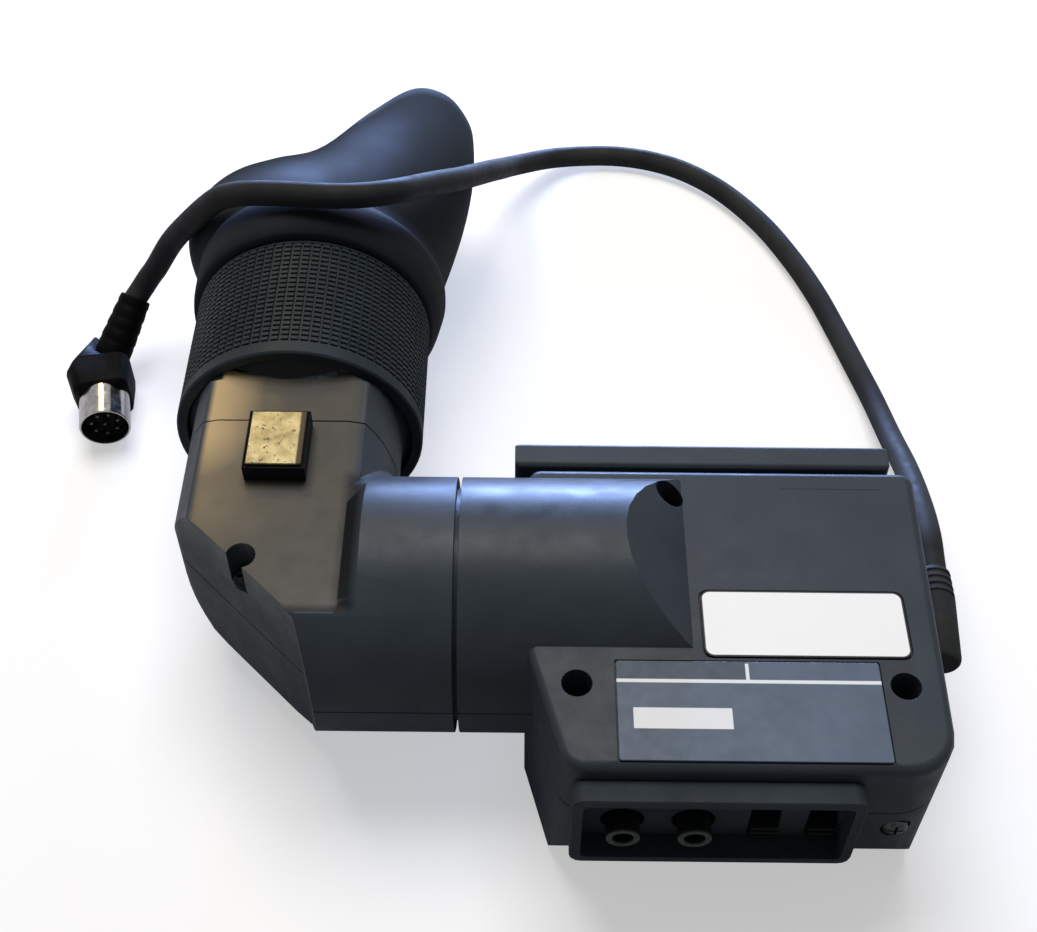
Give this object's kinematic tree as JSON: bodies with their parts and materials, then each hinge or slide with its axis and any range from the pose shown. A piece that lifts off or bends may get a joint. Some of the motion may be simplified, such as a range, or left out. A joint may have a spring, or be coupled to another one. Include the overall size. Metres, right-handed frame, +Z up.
{
  "type": "electronic viewfinder",
  "caption": "Camera viewfinder with a turning 90-degree elbow, a flip-open eyepiece, a focus ring, a rubber eyecup, picture controls, a slide rail and a cable with a round plug.",
  "frame": {"origin": "on the flat bottom that the housing lies on, under the round tube's axis and midway along the housing", "axes": "+X along the round tube's axis from the elbow to the housing, +Y the way the eyepiece looks out, +Z up through the label face"},
  "size_m": [0.2227, 0.2519, 0.0739],
  "materials": {
    "shell": "fine matte moulding",
    "panel": "matte moulding",
    "black": "matte",
    "rubber": "matte",
    "cable": "satin jacket",
    "brass": "pitted",
    "chrome": "polished",
    "steel": "blackened",
    "bright": "plain",
    "glass": "clear",
    "phosphor": "coated",
    "mirror": "front surface",
    "board": "lacquered laminate",
    "copper": "varnished winding",
    "white": "plain",
    "blue": "matte"
  },
  "bodies": {
    "housing": {"upper_shell": "shell", "lower_shell": "shell", "control_panel": "panel", "bright_potentiometer": "steel", "contrast_potentiometer": "steel", "peaking_switch_body": "bright", "tally_switch_body": "bright", "control_board": "board", "main_board": "board", "flyback_transformer": "black", "capacitor_tall": "bright", "capacitor_short": "bright", "board_connector": "white", "picture_tube": "phosphor", "deflection_yoke": "copper", "picture_tube_holder": "black", "tube_socket": "black", "socket_board": "board", "case_screw_left": "steel", "case_screw_right": "steel", "case_screw_ramp": "steel", "front_screw": "steel", "slide_rail": "panel", "rail_screw_left": "steel", "rail_screw_right": "steel", "label_plate": "blue", "blank_sticker": "white", "strain_relief": "cable", "cable": "cable", "plug_boot": "cable", "plug_body": "cable", "plug_shell": "chrome", "plug_insert": "black", "plug_pins": "bright"},
    "elbow": {"elbow_upper_shell": "shell", "elbow_lower_shell": "shell", "spigot_retainer": "bright", "mirror": "mirror", "elbow_screw": "steel", "catch_leaf_spring": "bright", "hinge_pin": "bright"},
    "catch": {"catch_slider": "black", "catch_plate": "brass"},
    "eyepiece": {"eyepiece_base": "shell", "eyecup_ring": "black", "eyecup": "rubber"},
    "focus_ring": {"focus_ring": "panel"},
    "lens_cell": {"lens_barrel": "black", "front_lens": "glass", "rear_lens": "glass", "lens_spacer": "black", "lens_retainer": "black"},
    "bright_knob": {"bright_knob": "panel"},
    "contrast_knob": {"contrast_knob": "panel"},
    "peaking_switch": {"peaking_slider": "black"},
    "tally_switch": {"tally_slider": "black"}
  },
  "joints": [
    {"name": "tube_turn", "type": "hinge", "parent": "housing", "child": "elbow", "pos_m": [-0.0572, 0, 0.0335], "axis": [-1, 0, 0], "range_deg": [0, 120]},
    {"name": "catch_slide", "type": "slide", "parent": "elbow", "child": "catch", "axis": [0, -1, 0], "range_m": [0, 0.003], "stiffness_N_per_m": 400},
    {"name": "eyepiece_flip", "type": "hinge", "parent": "elbow", "child": "eyepiece", "pos_m": [-0.0977, 0.0338, 0.0086], "axis": [-1, 0, 0], "range_deg": [0, 110]},
    {"name": "focus_turn", "type": "hinge", "parent": "eyepiece", "child": "focus_ring", "pos_m": [-0.0977, 0.0482, 0.0335], "axis": [0, 1, 0], "range_deg": [-60, 60]},
    {"name": "focus_travel", "type": "slide", "parent": "eyepiece", "child": "lens_cell", "axis": [0, 1, 0], "range_m": [-0.0037, 0.0037]},
    {"name": "bright_turn", "type": "hinge", "parent": "housing", "child": "bright_knob", "pos_m": [-0.0233, -0.0499, 0.0295], "axis": [0, -1, 0], "range_deg": [-150, 150]},
    {"name": "contrast_turn", "type": "hinge", "parent": "housing", "child": "contrast_knob", "pos_m": [-0.0089, -0.0499, 0.0295], "axis": [0, -1, 0], "range_deg": [-150, 150]},
    {"name": "peaking_slide", "type": "slide", "parent": "housing", "child": "peaking_switch", "axis": [0, 0, 1], "range_m": [0, 0.0045]},
    {"name": "tally_slide", "type": "slide", "parent": "housing", "child": "tally_switch", "axis": [0, 0, 1], "range_m": [0, 0.0045]}
  ],
  "couplings": [
    {"joint": "focus_travel", "follows": "focus_turn", "m_per_rad": 0.0035}
  ]
}
